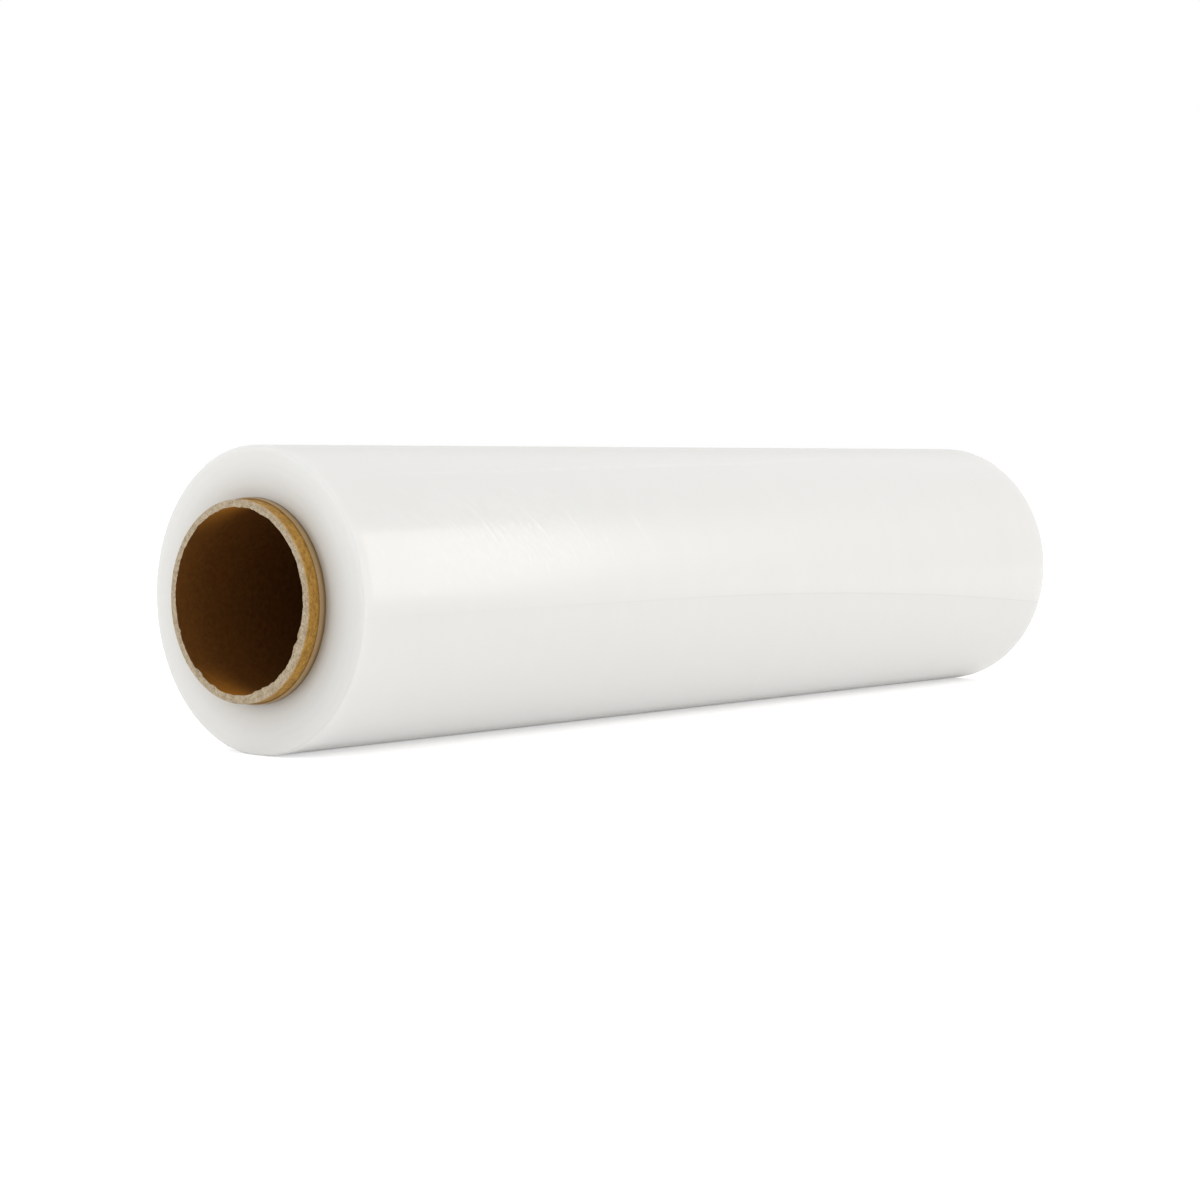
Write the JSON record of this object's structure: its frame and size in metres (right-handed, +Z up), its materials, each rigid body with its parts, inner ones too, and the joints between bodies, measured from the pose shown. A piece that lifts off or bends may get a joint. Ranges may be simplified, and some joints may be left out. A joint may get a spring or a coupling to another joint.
{
  "type": "stretch wrap roll",
  "caption": "Roll of milky clear stretch film wound on a hollow paperboard core that stands out a little at both ends.",
  "frame": {"origin": "on the surface it lies on, under the middle of the roll", "axes": "+X along the roll towards its far end, +Z up; the film's loose edge runs along the -Y side"},
  "size_m": [0.52, 0.1257, 0.1252],
  "materials": {
    "paperboard": "spiral-wound kraft paperboard with sawn grey-beige ends, matt with a slight sheen",
    "stretch_film": "milky clear polyethylene film, many turns deep, smooth with a soft gloss"
  },
  "bodies": {
    "root": {"core_tube": "paperboard", "film_roll": "stretch_film"}
  },
  "joints": []
}
